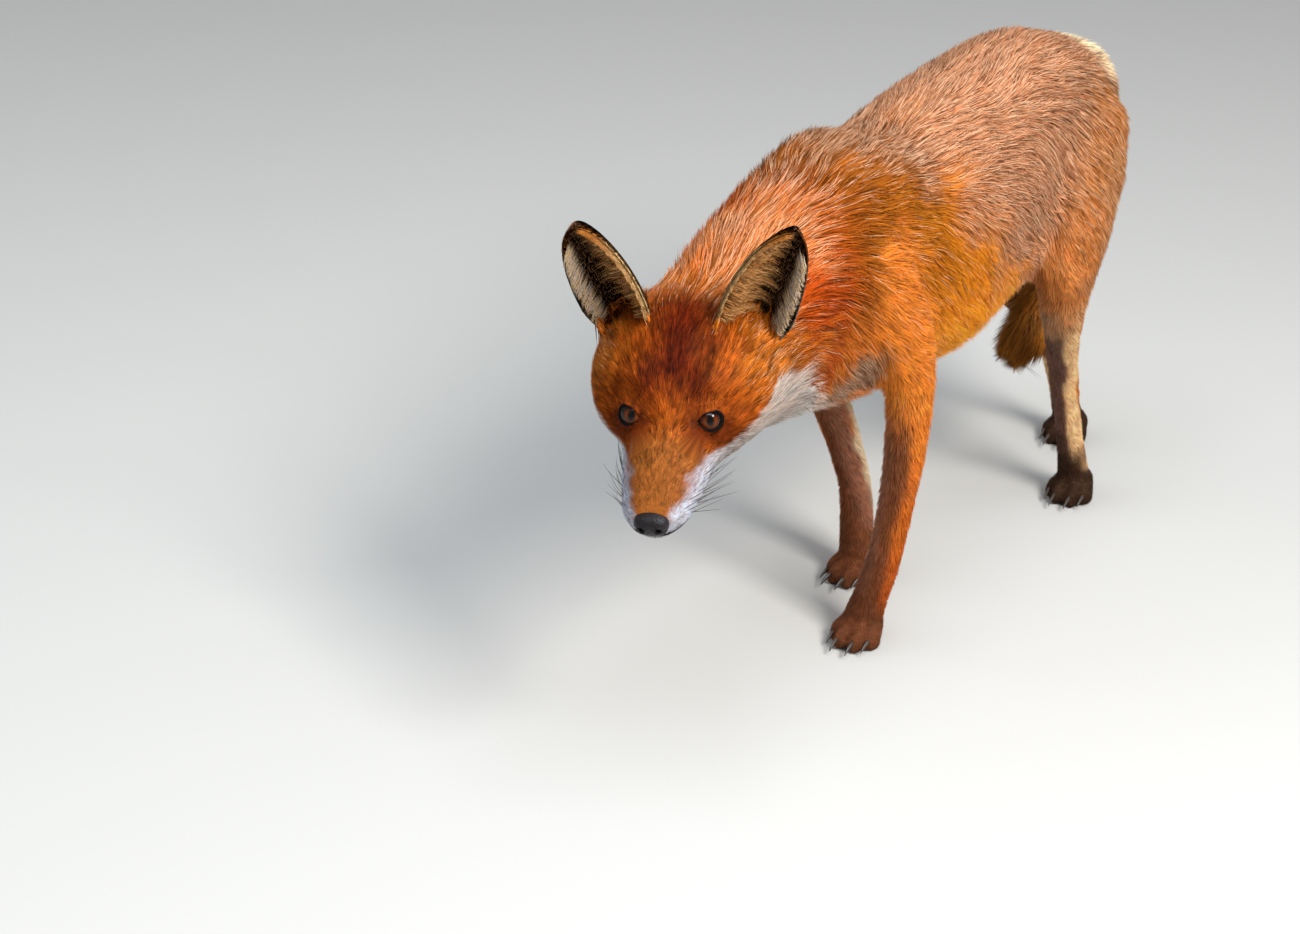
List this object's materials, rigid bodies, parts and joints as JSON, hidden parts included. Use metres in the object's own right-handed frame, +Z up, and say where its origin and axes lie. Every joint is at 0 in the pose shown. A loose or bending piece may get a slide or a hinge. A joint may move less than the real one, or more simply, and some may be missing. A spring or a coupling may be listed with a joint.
{
  "type": "red fox",
  "caption": "Life-size still red fox in a lean summer coat, walking with its head low and turned and its tail tucked between the hind legs.",
  "frame": {"origin": "middle of the box that holds the fox, on the floor it stands on", "axes": "+Z up, the fox walks towards -Y, its left side is +X"},
  "size_m": [0.173, 0.7428, 0.3931],
  "materials": {
    "coat": "soft fur, rust orange with a grizzled back, white lips and throat and dark feet",
    "nose_skin": "moist fine-grained bare skin",
    "eye": "wet, glossy, amber brown iris with an upright pupil",
    "horn": "satin dark horn"
  },
  "bodies": {
    "root": {"head": "coat", "jaw": "coat", "neck": "coat", "trunk": "coat", "tail_root": "coat", "tail_middle": "coat", "tail_tip": "coat", "ear_left": "coat", "upper_arm_left": "coat", "forearm_left": "coat", "forepaw_left": "coat", "thigh_left": "coat", "shin_left": "coat", "hind_foot_left": "coat", "hind_paw_left": "coat", "ear_right": "coat", "upper_arm_right": "coat", "forearm_right": "coat", "forepaw_right": "coat", "thigh_right": "coat", "shin_right": "coat", "hind_foot_right": "coat", "hind_paw_right": "coat", "nose": "nose_skin", "eye_left": "eye", "eye_right": "eye", "claw_fore_left_1": "horn", "claw_fore_left_2": "horn", "claw_fore_left_3": "horn", "claw_fore_left_4": "horn", "claw_fore_right_1": "horn", "claw_fore_right_2": "horn", "claw_fore_right_3": "horn", "claw_fore_right_4": "horn", "claw_hind_left_1": "horn", "claw_hind_left_2": "horn", "claw_hind_left_3": "horn", "claw_hind_left_4": "horn", "claw_hind_right_1": "horn", "claw_hind_right_2": "horn", "claw_hind_right_3": "horn", "claw_hind_right_4": "horn"}
  },
  "joints": []
}
